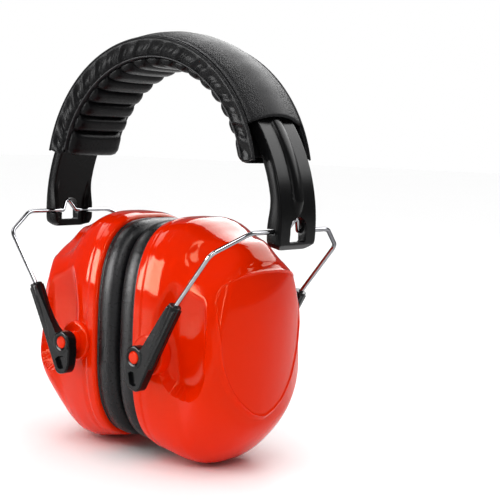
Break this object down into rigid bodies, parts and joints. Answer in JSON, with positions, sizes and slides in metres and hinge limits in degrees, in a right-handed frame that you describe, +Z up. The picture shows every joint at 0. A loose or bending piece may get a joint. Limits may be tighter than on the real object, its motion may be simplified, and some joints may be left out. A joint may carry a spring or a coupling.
{
  "type": "hearing protection earmuffs",
  "caption": "Folding over-ear hearing protector: padded headband, telescoping arms, wire yokes and domed cups with ring cushions that tilt and swing outwards.",
  "frame": {"origin": "on the surface that the cups stand on, midway between the two cups and midway front to rear", "axes": "+X towards the right-hand cup, -Y towards the front, +Z up towards the crown of the headband"},
  "size_m": [0.154, 0.0952, 0.1996],
  "materials": {
    "carrier_plastic": "matt black moulded nylon",
    "cover_leather": "black leatherette with a fine grain",
    "pad_leather": "black leatherette over ribbed foam",
    "arm_plastic": "satin black moulded plastic",
    "yoke_steel": "bright nickel-plated spring wire",
    "bracket_plastic": "glossy black moulded plastic",
    "cup_plastic": "glossy orange-red moulded plastic",
    "plate_plastic": "matt black moulded plastic",
    "cushion_leather": "black leatherette with a fine grain",
    "foam": "dark grey open-cell foam"
  },
  "bodies": {
    "headband": {"band_core": "carrier_plastic", "band_cover": "cover_leather", "head_pad": "pad_leather"},
    "right_arm": {"right_arm": "arm_plastic"},
    "right_yoke": {"right_yoke_wire": "yoke_steel", "right_front_bracket": "bracket_plastic", "right_rear_bracket": "bracket_plastic"},
    "right_cup": {"right_cup_shell": "cup_plastic", "right_cushion_plate": "plate_plastic", "right_ear_cushion": "cushion_leather", "right_cushion_foam": "foam", "right_foam_liner": "foam"},
    "left_arm": {"left_arm": "arm_plastic"},
    "left_yoke": {"left_yoke_wire": "yoke_steel", "left_front_bracket": "bracket_plastic", "left_rear_bracket": "bracket_plastic"},
    "left_cup": {"left_cup_shell": "cup_plastic", "left_cushion_plate": "plate_plastic", "left_ear_cushion": "cushion_leather", "left_cushion_foam": "foam", "left_foam_liner": "foam"}
  },
  "joints": [
    {"name": "right_arm_slide", "type": "hinge", "parent": "headband", "child": "right_arm", "pos_m": [0, 0, 0.1125], "axis": [0, -1, 0], "range_deg": [0, 16]},
    {"name": "right_yoke_swing", "type": "hinge", "parent": "right_arm", "child": "right_yoke", "pos_m": [0.072, 0, 0.1105], "axis": [0, -1, 0], "range_deg": [0, 95]},
    {"name": "right_cup_tilt", "type": "hinge", "parent": "right_yoke", "child": "right_cup", "pos_m": [0.0239, 0, 0.0526], "axis": [0, -1, 0], "range_deg": [-8, 8], "deforming": ["right_ear_cushion", "right_cushion_foam"]},
    {"name": "left_arm_slide", "type": "hinge", "parent": "headband", "child": "left_arm", "pos_m": [0, 0, 0.1125], "axis": [0, 1, 0], "range_deg": [0, 16]},
    {"name": "left_yoke_swing", "type": "hinge", "parent": "left_arm", "child": "left_yoke", "pos_m": [-0.072, 0, 0.1105], "axis": [0, 1, 0], "range_deg": [0, 95]},
    {"name": "left_cup_tilt", "type": "hinge", "parent": "left_yoke", "child": "left_cup", "pos_m": [-0.0239, 0, 0.0526], "axis": [0, 1, 0], "range_deg": [-8, 8], "deforming": ["left_ear_cushion", "left_cushion_foam"]}
  ]
}
